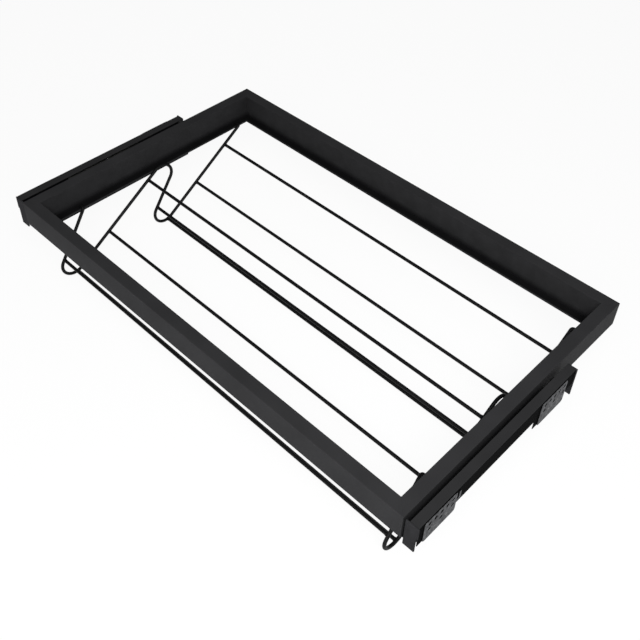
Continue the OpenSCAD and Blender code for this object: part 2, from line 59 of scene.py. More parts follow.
class Value:
    """A shader socket in a sum: an operator on it adds the Math node that works it out."""

    def __init__(self, finish, socket):
        self.finish, self.socket = finish, socket

    def maths(self, operation, *others):
        return self.finish.node("Math", {"operation": operation}, dict(enumerate((self, *others))))

    def __add__(self, other):
        return self.maths("ADD", other)

    def __mul__(self, other):
        return self.maths("MULTIPLY", other)

    def __sub__(self, other):
        return self.maths("SUBTRACT", other)

    def __rsub__(self, other):
        return self * -1 + other

    def __abs__(self):
        return self.maths("ABSOLUTE")

    def at_least(self, other):
        return self.maths("MAXIMUM", other)

    __radd__, __rmul__ = __add__, __mul__


class Finish:
    """A procedural material, read in the object's own coordinates, or the surround."""

    def __init__(self, name, kind="materials"):
        self.block = getattr(bpy.data, kind).new(name)
        self.block.use_nodes = True
        self.tree = self.block.node_tree
        self.tree.nodes.clear()

    def node(self, kind, settings={}, inputs={}, out=0):
        """Adds one node: its settings and a ramp's stops first, then its sockets' values or links."""
        made = self.tree.nodes.new("ShaderNode" + kind)
        for name, value in settings.items():
            if name == "stops":
                stops = made.color_ramp.elements[0], made.color_ramp.elements[1]
                for stop, (at, shade) in zip(stops, value):
                    stop.position, stop.color = at, (shade, shade, shade, 1)
            else:
                setattr(made, name, value)
        for name, value in inputs.items():
            if isinstance(value, Value):
                self.tree.links.new(value.socket, made.inputs[name])
            else:
                made.inputs[name].default_value = value
        return Value(self, made.outputs[out]) if made.outputs else None

    def place(self):
        """The point's place on the object."""
        return self.node("TexCoord", out="Object")

    def axis(self, name):
        """The point's place along X, Y or Z."""
        return self.node("SeparateXYZ", {}, {"Vector": self.place()}, out=name)

    def noise(self, scale, detail=2, roughness=0.5, stretch=(1, 1, 1)):
        """Cloudy noise from 0 to 1, with about one cloud in each 1/scale metres."""
        inputs = {"Scale": scale, "Detail": detail, "Roughness": roughness}
        inputs["Vector"] = self.node("Mapping", {}, {"Vector": self.place(), "Scale": stretch})
        return self.node("TexNoise", {}, inputs)

    def ramp(self, value, low, high):
        """0 below low, 1 above high, and straight between."""
        return self.node("ValToRGB", {"stops": ((low, 0), (high, 1))}, {"Fac": value})

    def blend(self, factor, dark, light):
        """Colour between two others, each three numbers or the result of a node."""
        first, second = (end if isinstance(end, Value) else (*end, 1) for end in (dark, light))
        return self.node("Mix", {"data_type": "RGBA"}, {0: factor, 6: first, 7: second}, out=2)

    def surface(self, colour, roughness, height=None, depth=0.0001, **constants):
        """Closes the material: height is raised by depth metres where it is 1."""
        inputs = {name.replace("_", " "): value for name, value in constants.items()}
        inputs.update({"Base Color": colour, "Roughness": roughness})
        if height is not None:
            inputs["Normal"] = self.node("Bump", {}, {"Height": height, "Distance": depth, "Strength": 1.0})
        return self.close(self.node("BsdfPrincipled", {}, inputs))

    def close(self, shader, kind="Material"):
        """Leads the last shader to the output."""
        self.node("Output" + kind, {}, {"Surface": shader})
        return self.block


def powder_coat(name, dark, light, grain=900, depth=0.00003, index=1.1):
    """Baked powder: an orange-peel skin with a fine grain in it, and a faint drift in tone."""
    coat = Finish(name)
    peel, fine, drift = coat.noise(grain, 3), coat.noise(grain * 3.5, 1), coat.noise(14, 2)
    tone = coat.ramp(drift * 0.6 + fine * 0.4, 0.3, 0.7)
    return coat.surface(
        coat.blend(tone, dark, light), peel * 0.10 + fine * 0.08 + 0.42, peel * 0.7 + fine * 0.3, depth,
        Specular_IOR_Level=0.3, IOR=index,
    )


def shaded_corner_powder(name, dark, light):
    """The same powder, with painted shade where the inner wall meets the ledge: towards the foot of the
    inner wall, over its lowest ten millimetres, and on the ledge, the colour darkens to near black.
    The painted shade stops short of the ledge's free edge, so a lighter line stays along it."""
    coat = Finish(name)
    patches, fine = coat.noise(60, 3), coat.noise(3000, 1)
    lip = BAR_WIDTH + LEDGE_WIDTH - UNSHADED_LIP_WIDTH
    past_x, past_y = abs(coat.axis("X")) - (HALF_WIDTH - lip), abs(coat.axis("Y")) - (HALF_DEPTH - lip)
    # painted shade at the wall's foot and on the ledge, stopping short of the ledge's free edge
    unshaded_lip = coat.ramp(0.5 - past_x.at_least(past_y) * 1200, 0.2, 0.8)
    above_shade = coat.ramp((coat.axis("Z") - FRAME_FOOT) * 50 + patches * 0.08, 0.1, 0.62)
    tone = coat.blend(coat.ramp(patches * 0.6 + fine * 0.4, 0.3, 0.7), dark, light)
    painted_shade_tone = coat.blend(above_shade.at_least(unshaded_lip), (0.0042, 0.0042, 0.0045), tone)
    return coat.surface(painted_shade_tone, fine * 0.1 + 0.5, fine, 0.00001, Specular_IOR_Level=0.3, IOR=1.1)


def rounded_outline(corners, radii, steps=4):
    """Closed outline: each corner becomes an arc between the two points that lie a tangent's
    length away on its sides, turned evenly from one side's normal to the other's."""
    corner, radius = np.array(corners, float), np.array(radii, float)[:, None]
    back, ahead = np.roll(corner, 1, 0) - corner, np.roll(corner, -1, 0) - corner
    back /= np.linalg.norm(back, axis=1, keepdims=True)
    ahead /= np.linalg.norm(ahead, axis=1, keepdims=True)
    half = np.arccos(np.sum(back * ahead, 1, keepdims=True)) / 2
    middle = back + ahead
    middle /= np.linalg.norm(middle, axis=1, keepdims=True)
    centre = corner + middle * radius / np.sin(half)
    reach = radius / np.tan(half)
    first, last = corner + back * reach - centre, corner + ahead * reach - centre
    share, turn = np.linspace(0, 1, steps + 1)[None, :, None], (np.pi - 2 * half)[:, :, None]
    arc = np.sin((1 - share) * turn) * first[:, None] + np.sin(share * turn) * last[:, None]
    return (centre[:, None] + arc / np.sin(turn)).reshape(-1, 2)


def shown(name, mesh, finish, smooth):
    """Puts a mesh into the scene, with its edges sharp where they turn more than smooth degrees."""
    mesh.materials.clear()
    mesh.materials.append(finish)
    mesh.shade_smooth()
    mesh.set_sharp_from_angle(angle=np.radians(smooth))
    piece = bpy.data.objects.new(name, mesh)
    bpy.context.collection.objects.link(piece)
    return piece


def add_piece(name, points, faces, finish, smooth=35):
    """Makes a mesh from its points and faces, and turns the faces outwards."""
    mesh = bpy.data.meshes.new(name)
    mesh.from_pydata(points.reshape(-1, 3).tolist(), [], faces)
    mesh.validate()
    work = bmesh.new()
    work.from_mesh(mesh)
    bmesh.ops.recalc_face_normals(work, faces=work.faces)
    work.to_mesh(mesh)
    work.free()
    return shown(name, mesh, finish, smooth)


def fit(piece, node, body):
    """The piece stands for the node, which is hidden, and moves with the body."""
    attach(piece, body)
    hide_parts(node)


def even_normals(piece):
    """Keeps flat faces flat beside their rounded edges."""
    piece.modifiers.new("even normals", "WEIGHTED_NORMAL").keep_sharp = True
    return piece


def skin_faces(rows, columns, start=0):
    """Faces of a tube whose rings lie one after another, closed by a face at each end."""
    row, column = np.meshgrid(np.arange(rows - 1), np.arange(columns), indexing="ij")
    near, far = row * columns, (row + 1) * columns
    ahead = (column + 1) % columns
    quads = np.stack([near + column, near + ahead, far + ahead, far + column], -1).reshape(-1, 4) + start
    first, last = np.arange(columns)[::-1] + start, np.arange(columns) + start + (rows - 1) * columns
    return quads.tolist() + [first.tolist(), last.tolist()]


def bar_outline(inset):
    """Cross section of a bar, as distance in from its outer face and height over its foot."""
    wall, ledge = BAR_WIDTH - inset, BAR_WIDTH + LEDGE_WIDTH - inset
    top, ledge_top = BAR_HEIGHT - inset, LEDGE_THICKNESS - inset
    corners = [
        (inset, inset), (ledge, inset), (ledge, ledge_top), (wall, ledge_top), (wall, top), (inset, top),
    ]
    return rounded_outline(corners, [BAR_EDGE, LEDGE_EDGE, LEDGE_EDGE, LEDGE_FILLET, BAR_EDGE, BAR_EDGE])


def add_bar(name, half_length, half_depth, turn):
    """A bar's outline carried along its length: each point runs to where the mitre plane meets it,
    and the last fifth of a millimetre is drawn in, so that two bars meet in a fine groove. The
    inner wall and the ledge's top have the painted shade coat."""
    whole, drawn_in = bar_outline(0), bar_outline(MITRE_GROOVE)
    along = np.array([-1, -1, 1, 1])[:, None]
    back = MITRE_GROOVE * np.array([0.25, 2, 2, 0.25])[:, None]
    outline = np.stack([drawn_in, whole, whole, drawn_in])
    inward, up = outline[:, :, 0], outline[:, :, 1]
    rings = np.stack([along * (half_length - inward - back), inward - half_depth, up + FRAME_FOOT], -1)
    cosine, sine = np.cos(np.radians(turn)), np.sin(np.radians(turn))
    turned = np.array([[cosine, sine, 0], [-sine, cosine, 0], [0, 0, 1]])
    bar = add_piece(name, rings @ turned, skin_faces(*rings.shape[:2]), frame_coat)
    inside = (inward[0] > BAR_WIDTH - BAR_EDGE + 0.0001) & (up[0] > LEDGE_THICKNESS - LEDGE_EDGE - 0.0001)
    side_faces = np.tile(inside & np.roll(inside, -1), len(outline) - 1)
    bar.data.materials.append(painted_shade_coat)
    bar.data.polygons.foreach_set("material_index", np.append(side_faces, [False, False]).astype(np.int32))
    return even_normals(bar)


# painted shade: the inner wall and the ledge get a darker copy of the frame's coat
painted_shade_coat = shaded_corner_powder("frame_painted_shade_coat", (0.014, 0.014, 0.0146), (0.02, 0.02, 0.021))
frame_coat = powder_coat("frame_coat", (0.0185, 0.0185, 0.0194), (0.027, 0.027, 0.0283), index=1.08)
for side, half_length, half_depth, turn in (
    ("front", HALF_WIDTH, HALF_DEPTH, 0), ("right", HALF_DEPTH, HALF_WIDTH, 90),
    ("rear", HALF_WIDTH, HALF_DEPTH, 180), ("left", HALF_DEPTH, HALF_WIDTH, 270),
):
    bar = add_bar(f"{side}_frame_bar", half_length, half_depth, turn)
    fit(bar, f"{side}_bar", "rack")


# End wires. Each is one 5 mm steel wire, bent in its own plane into a trough, a slope, a crest, a
# riser, a second trough and a second slope, with both ends turned out to lie on the frame's ledge.

WIRE_RADIUS = 0.0025
WIRE_X = 0.3281
TAIL_HEIGHT = 0.1116
TAIL_END = 0.336
TAIL_BEND = 0.0032
TROUGH_RADIUS = 0.020
CREST_RADIUS = 0.019
FRONT_TROUGH = np.array([-0.179, 0.0225])
REAR_TROUGH = np.array([-0.0005, 0.0225])
CREST = np.array([0.003, 0.0945])
FRONT_END_ANGLE = 56.5
REAR_TIER_ANGLE = 33.5
CUT_BACK = np.array([0.0009, 0.0003, 0.0])
CUT_WIDTH = np.array([0.80, 0.96])


def crossing_angles(trough):
    """Turn in degrees of the line from a trough's centre to the crest's, and of the wire that
    crosses that line while it leaves one bend and enters the other."""
    across = CREST - trough
    line = np.degrees(np.arctan2(across[1], across[0]))
    cross = np.degrees(np.arcsin((TROUGH_RADIUS + CREST_RADIUS) / np.linalg.norm(across)))
    return line, cross


def bend(centre, radius, start, end, steps=28):
    """Points and headings round a bend, while the heading turns evenly from start to end degrees."""
    heading = np.radians(np.linspace(start, end, steps + 1))
    side = np.sign(end - start) * radius
    points = centre + side * np.stack([np.sin(heading), -np.cos(heading)], -1)
    return np.column_stack([np.full(steps + 1, WIRE_X), points]), heading, np.zeros(steps + 1)


def tail(foot, heading, way, steps=9):
    """Points up a straight wire to the ledge, then round a tight bend outwards and along the ledge.
    The third result is how far the wire has turned out of its plane."""
    heading = np.radians(heading)
    onward = way * np.array([0, np.cos(heading), np.sin(heading)])
    up = (TAIL_HEIGHT - foot[1]) / np.sin(heading) * way - TAIL_BEND
    start = np.array([WIRE_X, *foot]) + up * onward
    turn = np.linspace(0, np.pi / 2, steps + 1)[:, None]
    curve = start + TAIL_BEND * ((1 - np.cos(turn)) * [1, 0, 0] + np.sin(turn) * onward)
    straight = curve[-1] + (TAIL_END - curve[-1, 0] - CUT_BACK)[:, None] * [1, 0, 0]
    points = np.vstack([curve, straight])
    out = np.append(turn.ravel(), [np.pi / 2] * len(straight))
    return points, np.full(len(points), heading), way * out


def wire_skin(parts, x_side, sides=28):
    """Circles carried along the wire's middle line: one radius lies in the plane of the bends,
    square to the wire, and the other is square to both. The last rings round off a cut end."""
    points, heading, out = (np.concatenate(values) for values in zip(*parts))
    level = np.stack([0 * heading, np.sin(heading), -np.cos(heading)], -1)
    ahead = np.stack([0 * heading, np.cos(heading), np.sin(heading)], -1)
    across = np.cos(out)[:, None] * [1, 0, 0] - np.sin(out)[:, None] * ahead
    radius = np.full(len(points), WIRE_RADIUS)
    radius[:2] *= CUT_WIDTH
    radius[-2:] *= CUT_WIDTH[::-1]
    angle = np.linspace(0, 2 * np.pi, sides, endpoint=False)[None, :, None]
    ring = np.cos(angle) * across[:, None] + np.sin(angle) * level[:, None]
    return (points[:, None] + radius[:, None, None] * ring) * [x_side, 1, 1]


wire_coat = powder_coat(
    "wire_coat", (0.0022, 0.0022, 0.0024), (0.0042, 0.0042, 0.0045), grain=700, depth=0.000006, index=1.25
)
front_line, front_cross = crossing_angles(FRONT_TROUGH)
rear_line, rear_cross = crossing_angles(REAR_TROUGH)
front_tier_angle, riser_angle = front_line + front_cross, rear_line - rear_cross


def trough_side(trough, angle, ahead, up=0):
    """Point on a trough's rim where a wire at that angle leaves it, and up along the wire."""
    turn, heading = np.radians(angle + (-90 if ahead else 90)), np.radians(angle)
    rim = trough + TROUGH_RADIUS * np.array([np.cos(turn), np.sin(turn)])
    return rim + up * np.array([np.cos(heading), np.sin(heading)])


front_tail = tail(trough_side(FRONT_TROUGH, FRONT_END_ANGLE, False), FRONT_END_ANGLE + 180, -1)
wire_parts = [
    [values[::-1] for values in front_tail],
    bend(FRONT_TROUGH, TROUGH_RADIUS, FRONT_END_ANGLE - 180, front_tier_angle),
    bend(CREST, CREST_RADIUS, front_tier_angle, riser_angle - 180),
    bend(REAR_TROUGH, TROUGH_RADIUS, riser_angle - 180, REAR_TIER_ANGLE),
    tail(trough_side(REAR_TROUGH, REAR_TIER_ANGLE, True), REAR_TIER_ANGLE, 1),
]
for side, x_side in (("left", -1), ("right", 1)):
    rings = wire_skin(wire_parts, x_side)
    wire = add_piece(f"{side}_bent_wire", rings, skin_faces(*rings.shape[:2]), wire_coat)
    fit(wire, f"{side}_end_wire", "rack")


# Long rods. Eight straight 5 mm steel rods, butted between the two end wires and resistance
# welded to them, so that a small uneven collar of metal stands round each end under the coating.

ROD_END = WIRE_X - WIRE_RADIUS
LOWER_ROD_UP = 0.0705
FRONT_ROD_UP = 0.172
REAR_ROD_UP = 0.150
STOP_ROD_UP = 0.0045
TROUGH_ROD_ANGLE = 22
COLLAR_HEIGHT = 0.00048
COLLAR_LENGTH = 0.0013
COLLAR_RINGS = np.array([-0.0012, 0.0, 0.0003, 0.0006, 0.0009, 0.0013, 0.0018, 0.0026, 0.004, 0.02])

rod_places = {
    "front_upper_rod": trough_side(FRONT_TROUGH, front_tier_angle, True, FRONT_ROD_UP),
    "front_lower_rod": trough_side(FRONT_TROUGH, front_tier_angle, True, LOWER_ROD_UP),
    "front_trough_rod": trough_side(FRONT_TROUGH, front_tier_angle - TROUGH_ROD_ANGLE, True),
    "front_stop_rod": trough_side(FRONT_TROUGH, FRONT_END_ANGLE, False, STOP_ROD_UP),
    "rear_upper_rod": trough_side(REAR_TROUGH, REAR_TIER_ANGLE, True, REAR_ROD_UP),
    "rear_lower_rod": trough_side(REAR_TROUGH, REAR_TIER_ANGLE, True, LOWER_ROD_UP),
    "rear_trough_rod": trough_side(REAR_TROUGH, REAR_TIER_ANGLE - TROUGH_ROD_ANGLE, True),
    "rear_stop_rod": trough_side(REAR_TROUGH, riser_angle, False, STOP_ROD_UP),
}


def rod_skin(place, phase, sides=28):
    """Circles along X: the radius grows at each end as a bell curve, with a few lumps round it."""
    x = np.concatenate([COLLAR_RINGS - ROD_END, [-0.1, 0, 0.1], (ROD_END - COLLAR_RINGS)[::-1]])
    angle = np.linspace(0, 2 * np.pi, sides, endpoint=False)
    swell = COLLAR_HEIGHT * np.exp(-(((ROD_END - np.abs(x)) / COLLAR_LENGTH) ** 2))
    lumps = 1 + 0.18 * np.sin(3 * angle + phase) + 0.1 * np.sin(5 * angle - 2 * phase)
    radius = WIRE_RADIUS + swell[:, None] * lumps
    radius[[0, -1]] *= 0.6
    y, z = place[0] + radius * np.cos(angle), place[1] + radius * np.sin(angle)
    return np.stack([np.broadcast_to(x[:, None], y.shape), y, z], -1)


for count, (name, place) in enumerate(rod_places.items()):
    rings = rod_skin(place, 1.7 * count)
    rod = add_piece(f"welded_{name}", rings, skin_faces(*rings.shape[:2]), wire_coat, 60)
    fit(rod, name, "rack")


# Carriers. A folded 2 mm steel angle on each side: its foot lies under the side bar and its upright
# stands beside the slide. Laser cut, folded, and coated black before it is screwed on.

FOLD_RADIUS = 0.0016
CARRIER_EDGE = 0.00025
FOLD_LENGTH = 0.2
FOLD_FACE = 0.0008
INNER_FOLD = 0.33
WELD_DISTANCE = 0.000002


def softened(node, name, finish, edge, fold=0.0):
    """A copy of a node's solid, merged, with its flat faces joined and its edges rounded. A fold is a
    long edge between two wide faces: outside it gets the fold's radius, and inside a third of it."""
    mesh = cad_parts[node].data.copy()
    mesh.name = name
    work = bmesh.new()
    work.from_mesh(mesh)
    bmesh.ops.remove_doubles(work, verts=work.verts, dist=WELD_DISTANCE)
    bmesh.ops.dissolve_limit(work, angle_limit=0.01, verts=work.verts, edges=work.edges)
    bmesh.ops.recalc_face_normals(work, faces=work.faces)
    weight = work.edges.layers.float.new("bevel_weight_edge")
    for crease in work.edges:
        wide = len(crease.link_faces) == 2 and min(face.calc_area() for face in crease.link_faces) > FOLD_FACE
        if wide and crease.calc_length() > FOLD_LENGTH and abs(crease.calc_face_angle_signed()) > 1:
            crease[weight] = 1.0 if crease.calc_face_angle_signed() > 0 else INNER_FOLD
    work.to_mesh(mesh)
    work.free()
    piece = shown(name, mesh, finish, 35)
    for radius, limit, segments in ((fold, "WEIGHT", 5), (edge, "ANGLE", 2)):
        if radius:
            rounding = piece.modifiers.new("rounding " + limit.lower(), "BEVEL")
            rounding.width, rounding.segments, rounding.limit_method = radius, segments, limit
            rounding.angle_limit, rounding.use_clamp_overlap = np.radians(40), False
    return even_normals(piece)


carrier_coat = powder_coat(
    "carrier_coat", (0.0024, 0.0024, 0.0026), (0.0046, 0.0046, 0.0049), grain=1300, depth=0.00002
)
for side in ("left", "right"):
    carrier = softened(f"{side}_carrier", f"{side}_angle", carrier_coat, CARRIER_EDGE, FOLD_RADIUS)
    fit(carrier, f"{side}_carrier", "rack")


# Corner cleats. A die-cast alloy block in each mitre, with a pocket in each leg; its rough cast
# skin stays bare. Two countersunk screws from underneath draw each one into its two bars.

CAST_EDGE = 0.0003
SCREW_RADIUS = 0.002
SCREW_TIP = 0.0014
SUNK_RADIUS = 0.00395
SUNK_HEIGHT = 0.0001
SUNK_DEPTH = 0.0016
SUNK_LENGTH = 0.0116
SUNK_POINT = 0.0004
CLEAT_REACH = 0.0315
BAR_MIDDLE = 0.009
RECESS_ARM = 0.0019
RECESS_HALF_WIDTH = 0.00062
RECESS_FLANK = 0.00018
RECESS_RUN_OUT = 0.0005
RECESS_DEPTH = 0.0011
HEAD_SKIN = 0.0006
SCREW_TURN = 2.4


def cast_alloy(name):
    """Bare cast skin: a grey of soft clouds, with fine pits."""
    cast = Finish(name)
    clouds, pits = cast.noise(120, 4), cast.noise(1800, 2)
    return cast.surface(
        cast.blend(cast.ramp(clouds, 0.3, 0.7), (0.34, 0.34, 0.35), (0.50, 0.50, 0.51)),
        clouds * 0.15 + 0.45, clouds * 0.3 + pits * 0.7, 0.00005, Metallic=0.9,
    )


def cross_recess(x, y):
    """Depth of a cross recess: 1 inside its two arms, 0 outside, and a straight flank between."""
    near, far = np.minimum(abs(x), abs(y)), np.maximum(abs(x), abs(y))
    beside, beyond = (RECESS_HALF_WIDTH - near) / RECESS_FLANK, (RECESS_ARM - far) / RECESS_RUN_OUT
    return np.clip(beside, 0, 1) * np.clip(beyond, 0, 1)


def screws(name, profile, places, head_way, finish, sides=40):
    """Screws with their axes along head_way: each is the profile of radius and height, turned
    about its axis, and its head is lowered by the cross recess. Every screw stops at its own angle."""
    head_way = np.array(head_way, float)
    across = np.roll(head_way, 1)
    up = np.cross(head_way, across)
    radius, height = np.array(profile, float).T[:, :, None]
    angle = np.linspace(0, 2 * np.pi, sides, endpoint=False)[None]
    x, y = radius * np.cos(angle), radius * np.sin(angle)
    lowered = height - RECESS_DEPTH * cross_recess(x, y) * (height > height.max() - HEAD_SKIN)
    points, faces = [], []
    for count, place in enumerate(places):
        cosine, sine = np.cos(SCREW_TURN * count), np.sin(SCREW_TURN * count)
        turned_x, turned_y = x * cosine - y * sine, x * sine + y * cosine
        skin = turned_x[..., None] * across + turned_y[..., None] * up + lowered[..., None] * head_way
        faces += skin_faces(len(profile), sides, count * lowered.size)
        points.append((np.array(place) + skin).reshape(-1, 3))
    return add_piece(name, np.concatenate(points), faces, finish, 40)


def dark_plating(name):
    """Black-passivated zinc: near-black metal with a brown-blue cast, brighter where it is rubbed."""
    plating = Finish(name)
    film, rubbed = plating.noise(500, 3), plating.noise(2600, 2)
    tone = plating.ramp(film * 0.7 + rubbed * 0.3, 0.35, 0.7)
    return plating.surface(
        plating.blend(tone, (0.035, 0.036, 0.04), (0.085, 0.083, 0.08)), film * 0.2 + 0.28, rubbed, 0.000004,
        Metallic=0.95,
    )


alloy, plated = cast_alloy("cast_alloy"), dark_plating("black_zinc")
cleats = softened("corner_cleats", "cast_corner_cleats", alloy, CAST_EDGE)
fit(cleats, "corner_cleats", "rack")
sunk = [(r * SUNK_RADIUS, SUNK_HEIGHT) for r in np.linspace(0.02, 0.96, 14)]
sunk += [(SUNK_RADIUS, 0.4 * SUNK_HEIGHT), (SUNK_RADIUS, 0), (SCREW_RADIUS, -SUNK_DEPTH)]
sunk += [(SCREW_RADIUS, SUNK_POINT - SUNK_LENGTH), (SCREW_TIP, -SUNK_LENGTH)]
corner_places = [
    (x_side * (HALF_WIDTH - a), y_side * (HALF_DEPTH - b), FRAME_FOOT)
    for x_side in (-1, 1) for y_side in (-1, 1)
    for a, b in ((BAR_MIDDLE, CLEAT_REACH), (CLEAT_REACH, BAR_MIDDLE))
]
cleat_screws = screws("countersunk_screws", sunk, corner_places, (0, 0, -1), plated)
fit(cleat_screws, "cleat_screws", "rack")


# Carrier screws and nuts. Three pan head screws go up through each angle's foot into the side bar,
# and three go through its upright into the drawer rail, where hexagon nuts hold them.

HEAD_RADIUS = 0.0035
HEAD_HEIGHT = 0.0022
HEAD_CROWN = 0.0005
PAN_RIM = [(0.93, 0.0016), (0.98, 0.0012), (1, 0.0007), (1, 0)]
PAN_TIP = 0.0015
PAN_POINT = 0.0005
BAR_SCREW_LENGTH = 0.012
RAIL_SCREW_LENGTH = 0.0054
NUT_EDGE = 0.0002
CARRIER_FOOT = 0.105
CARRIER_X = 0.3651
SLIDE_FRONT = -0.217
SLIDE_MIDDLE = 0.1303
CARRIER_LENGTH = 0.278
BAR_SCREW_IN = 0.048
RAIL_SCREW_IN = 0.030

pan = [(r * HEAD_RADIUS, HEAD_HEIGHT - HEAD_CROWN * r ** 3) for r in np.linspace(0.02, 0.86, 13)]
pan += [(r * HEAD_RADIUS, height) for r, height in PAN_RIM]
bar_row = SLIDE_FRONT + np.linspace(BAR_SCREW_IN, CARRIER_LENGTH - BAR_SCREW_IN, 3)
rail_row = SLIDE_FRONT + np.linspace(RAIL_SCREW_IN, CARRIER_LENGTH - RAIL_SCREW_IN, 3)
for side, x_side in (("left", -1), ("right", 1)):
    bar_places = [(x_side * (HALF_WIDTH - BAR_MIDDLE), y, CARRIER_FOOT) for y in bar_row]
    rail_places = [(x_side * CARRIER_X, y, SLIDE_MIDDLE) for y in rail_row]
    for kind, length, places, head_way in (
        ("bar", BAR_SCREW_LENGTH, bar_places, (0, 0, -1)),
        ("rail", RAIL_SCREW_LENGTH, rail_places, (-x_side, 0, 0)),
    ):
        shank = [(SCREW_RADIUS, 0), (SCREW_RADIUS, PAN_POINT - length), (PAN_TIP, -length)]
        piece = screws(f"{side}_{kind}_pan_heads", pan + shank, places, head_way, plated)
        fit(piece, f"{side}_{kind}_screws", "rack")
    nuts = softened(f"{side}_rail_nuts", f"{side}_hexagon_nuts", plated, NUT_EDGE)
    fit(nuts, f"{side}_rail_nuts", "rack")


# Slides. On each side three rails of 1 mm cold-rolled steel strip, roll-formed one inside the other
# and dip-coated black. The wide one is the cabinet rail, the middle one floats, the narrow one is
# pulled.

RAIL_EDGE = 0.0001
RAIL_FOLD = 0.0012


def dipped_strip(name):
    """Black dip coat on rolled strip: a thin satin film that follows the roll lines along Y, cloudy,
    with faint grey rubs where the balls and cages have run."""
    strip = Finish(name)
    lines = strip.noise(1600, 3, 0.6, (1, 0.015, 1))
    clouds, rubs = strip.noise(35, 4, 0.6), strip.noise(420, 2, 0.5, (1, 0.03, 1))
    streaks = strip.ramp(lines * 0.4 + clouds * 0.6, 0.3, 0.7)
    film = strip.blend(streaks, (0.0022, 0.0022, 0.0025), (0.005, 0.005, 0.0055))
    tone = strip.blend(strip.ramp(rubs, 0.66, 0.8) * 0.5, film, (0.045, 0.045, 0.047))
    gloss = lines * 0.14 + clouds * 0.1 + 0.26
    return strip.surface(tone, gloss, lines, 0.000006, Specular_IOR_Level=0.35, IOR=1.1)


strip_black = dipped_strip("dipped_strip")
rail_bodies = {"drawer": "rack", "middle": "{}_middle_slide", "cabinet": "fixed_sides"}
for side in ("left", "right"):
    for rail, body in rail_bodies.items():
        piece = softened(f"{side}_{rail}_rail", f"{side}_{rail}_strip", strip_black, RAIL_EDGE, RAIL_FOLD)
        fit(piece, f"{side}_{rail}_rail", body.format(side))


# Cages and balls. Thin stamped steel strips keep ten polished 2.4 mm bearing balls apart in each of
# the four tracks of a slide, in a film of grease.

def stamped_strip(name):
    """Bare stamped strip: dull, with rolling lines and a brownish oil film."""
    stamped = Finish(name)
    lines, oil = stamped.noise(1400, 2, 0.5, (1, 0.03, 1)), stamped.noise(90, 3)
    tone = stamped.ramp(lines * 0.5 + oil * 0.5, 0.3, 0.7)
    metal = stamped.blend(tone, (0.20, 0.195, 0.18), (0.36, 0.355, 0.34))
    return stamped.surface(metal, oil * 0.25 + 0.3, lines, 0.000005, Metallic=1.0)


def ball_polish(name):
    """Polished bearing steel, dulled here and there by grease."""
    ball = Finish(name)
    grease = ball.noise(700, 3)
    metal = ball.blend(ball.ramp(grease, 0.35, 0.7), (0.52, 0.52, 0.53), (0.72, 0.72, 0.74))
    return ball.surface(metal, grease * 0.16 + 0.04, Metallic=1.0)


cage_steel, ball_steel = stamped_strip("stamped_cage"), ball_polish("bearing_ball")
for side in ("left", "right"):
    for row in ("inner", "outer"):
        cages = softened(f"{side}_{row}_cages", f"{side}_{row}_stamped_cages", cage_steel, 0)
        fit(cages, f"{side}_{row}_cages", f"{side}_{row}_bearing")
        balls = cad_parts[f"{side}_{row}_balls"].data
        balls.materials.clear()
        balls.materials.append(ball_steel)


# Buffers. A moulded black rubber block at the back of each cabinet rail, pressed on the rear cap's
# two pegs, where the middle and drawer rails come to rest.

BUFFER_EDGE = 0.0004


def rubber(name):
    """Moulded rubber: matte black with a grey bloom."""
    block = Finish(name)
    bloom, skin = block.noise(220, 3), block.noise(2400, 2)
    tone = block.blend(block.ramp(bloom, 0.3, 0.75), (0.012, 0.012, 0.012), (0.026, 0.026, 0.027))
    return block.surface(tone, bloom * 0.12 + 0.7, skin, 0.00003, Specular_IOR_Level=0.3)


buffer_rubber = rubber("buffer_rubber")
for side in ("left", "right"):
    block = softened(f"{side}_buffer", f"{side}_rubber_block", buffer_rubber, BUFFER_EDGE)
    fit(block, f"{side}_buffer", "fixed_sides")


# Covers. A folded 1 mm steel sheet lies over each slide: a narrow top, an outer wall, and a tab
# down behind each bracket. Powder coated black like the frame and riveted to the cabinet rail.

COVER_FOLD = 0.0011
COVER_EDGE = 0.00018
WALL_PLANE = 0.3803


def cover_powder(name, dark, light):
    """Powder on the top. The outer wall is painted near black: painted shade for the shadow under
    the top's edge. The painted shade fades in round the fold."""
    coat = Finish(name)
    peel, fine, drift = coat.noise(900, 3), coat.noise(3000, 1), coat.noise(14, 2)
    tone = coat.blend(coat.ramp(drift * 0.6 + fine * 0.4, 0.3, 0.7), dark, light)
    # painted shade: near black outward of the fold's plane
    wall_shade = coat.ramp((abs(coat.axis("X")) - WALL_PLANE) * 1800 + drift * 0.3, 0.35, 0.75)
    return coat.surface(
        coat.blend(wall_shade, tone, (0.0028, 0.0028, 0.003)),
        peel * 0.10 + fine * 0.08 + 0.44, peel * 0.7 + fine * 0.3, 0.00003, Specular_IOR_Level=0.3, IOR=1.03,
    )


cover_coat = cover_powder("cover_coat", (0.017, 0.017, 0.0175), (0.025, 0.025, 0.026))
for side in ("left", "right"):
    cover = softened(f"{side}_cover", f"{side}_folded_cover", cover_coat, COVER_EDGE, COVER_FOLD)
    fit(cover, f"{side}_cover", "fixed_sides")


# Caps. Injection moulded black plastic plates with a finely etched skin: the front ones are plugged
# into the drawer rails and travel with the rack, the rear ones are held on pegs behind the slides.

CAPS = {"front": ("rack", 0.0005), "rear": ("fixed_sides", 0.0003)}


